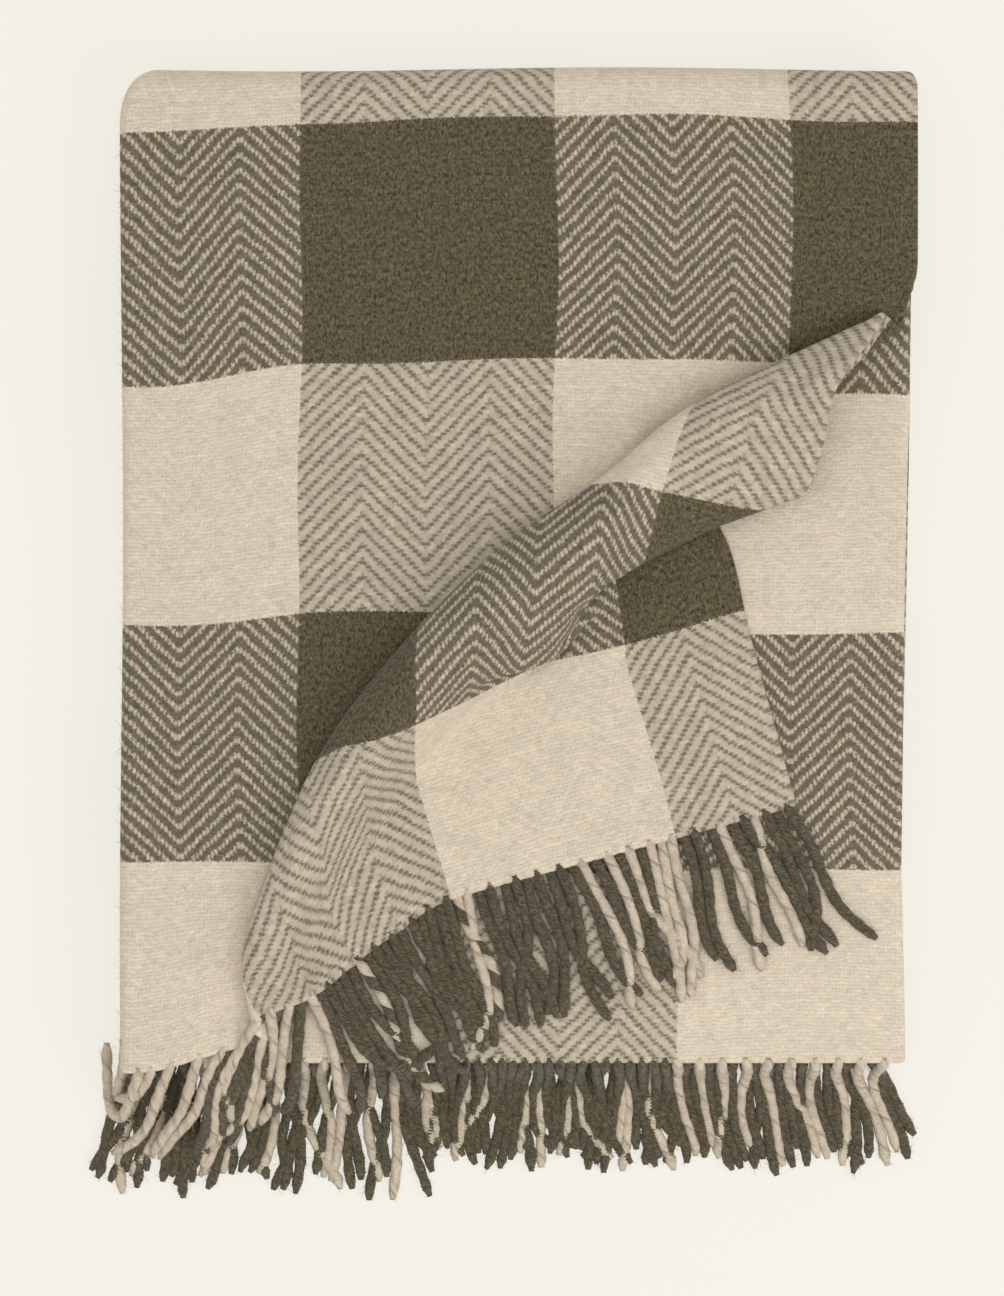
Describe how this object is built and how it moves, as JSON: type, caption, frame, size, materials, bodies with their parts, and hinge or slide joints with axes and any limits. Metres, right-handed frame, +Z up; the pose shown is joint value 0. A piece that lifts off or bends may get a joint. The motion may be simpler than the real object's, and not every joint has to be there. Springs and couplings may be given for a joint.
{
  "type": "folded throw blanket",
  "caption": "Folded wool throw blanket in a large two-colour herringbone check, with twisted fringe ends and the top layer's corner pulled back in a soft ridge.",
  "frame": {"origin": "middle of the whole folded throw and its fringe in plan, on the surface it lies on", "axes": "+X to the right across the cloth, +Y towards the top fold, away from the visible fringe, +Z up"},
  "size_m": [0.4214, 0.6102, 0.079],
  "materials": {
    "checked_wool": "napped herringbone twill in cream and dark olive checks",
    "cream_wool": "napped undyed wool, matte",
    "olive_wool": "napped dark olive wool, matte"
  },
  "bodies": {
    "back_panel": {"back_top_layer": "checked_wool", "back_inner_layer": "checked_wool", "back_lower_layer": "checked_wool", "back_left_fold": "cream_wool", "back_right_fold": "olive_wool", "back_top_layer_fringe": "cream_wool", "back_inner_layer_fringe": "cream_wool", "back_lower_layer_fringe": "olive_wool"},
    "middle_panel": {"middle_top_layer": "checked_wool", "middle_inner_layer": "checked_wool", "middle_lower_layer": "checked_wool", "middle_left_fold": "cream_wool", "middle_right_fold": "olive_wool", "bottom_fold_inner": "checked_wool", "bottom_fold_middle": "checked_wool", "bottom_fold_outer": "checked_wool"},
    "front_panel": {"front_top_layer": "checked_wool", "front_corner_ridge": "checked_wool", "front_top_layer_fringe": "cream_wool", "front_inner_layer": "checked_wool", "front_lower_layer": "checked_wool", "front_left_fold": "cream_wool", "front_right_fold": "olive_wool", "front_inner_layer_fringe": "cream_wool", "front_lower_layer_fringe": "olive_wool", "top_fold_inner": "checked_wool", "top_fold_middle": "checked_wool", "top_fold_outer": "checked_wool"},
    "corner_flap": {"front_corner_flap": "checked_wool", "front_corner_flap_fringe": "olive_wool"}
  },
  "joints": [
    {"name": "bottom_fold", "type": "hinge", "parent": "back_panel", "child": "middle_panel", "pos_m": [0, -0.219, 0.0135], "axis": [1, 0, 0], "range_deg": [0, 180], "deforming": ["bottom_fold_inner", "bottom_fold_middle", "bottom_fold_outer"]},
    {"name": "top_fold", "type": "hinge", "parent": "middle_panel", "child": "front_panel", "pos_m": [0, 0.303, 0.0273], "axis": [-1, 0, 0], "range_deg": [0, 180], "deforming": ["top_fold_inner", "top_fold_middle", "top_fold_outer"]},
    {"name": "corner_peel", "type": "hinge", "parent": "front_panel", "child": "corner_flap", "pos_m": [0.0117, -0.001, 0.0412], "axis": [-0.658, -0.753, 0], "range_deg": [0, 150], "deforming": ["front_corner_ridge"]}
  ]
}
